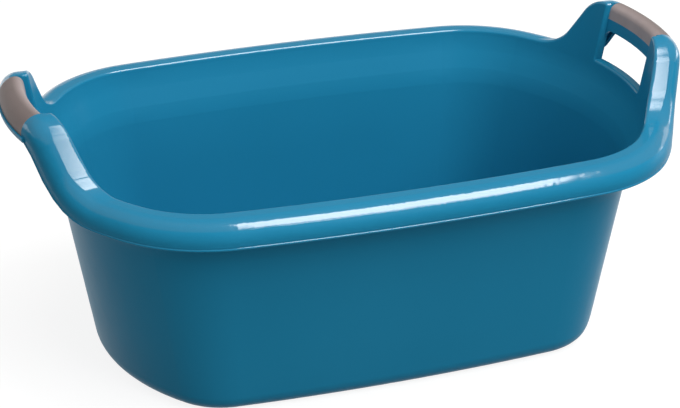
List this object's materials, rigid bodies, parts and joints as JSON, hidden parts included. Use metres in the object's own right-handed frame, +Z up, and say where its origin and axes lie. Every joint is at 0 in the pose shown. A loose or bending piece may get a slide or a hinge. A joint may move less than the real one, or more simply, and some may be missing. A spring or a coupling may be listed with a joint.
{
  "type": "washing up bowl",
  "caption": "Deep rounded-rectangle washing up bowl with a rolled rim that rises at each end into a gripped handle with a hand hole.",
  "frame": {"origin": "centre of the underside of the floor, which the bowl stands on", "axes": "+Z up; +X along the length of the bowl towards the right handle; +Y across it, away from the viewer"},
  "size_m": [0.6214, 0.3982, 0.261],
  "materials": {
    "tub": "gloss",
    "grip": "satin"
  },
  "bodies": {
    "root": {"basin": "tub", "grip_left": "grip", "grip_right": "grip"}
  },
  "joints": []
}
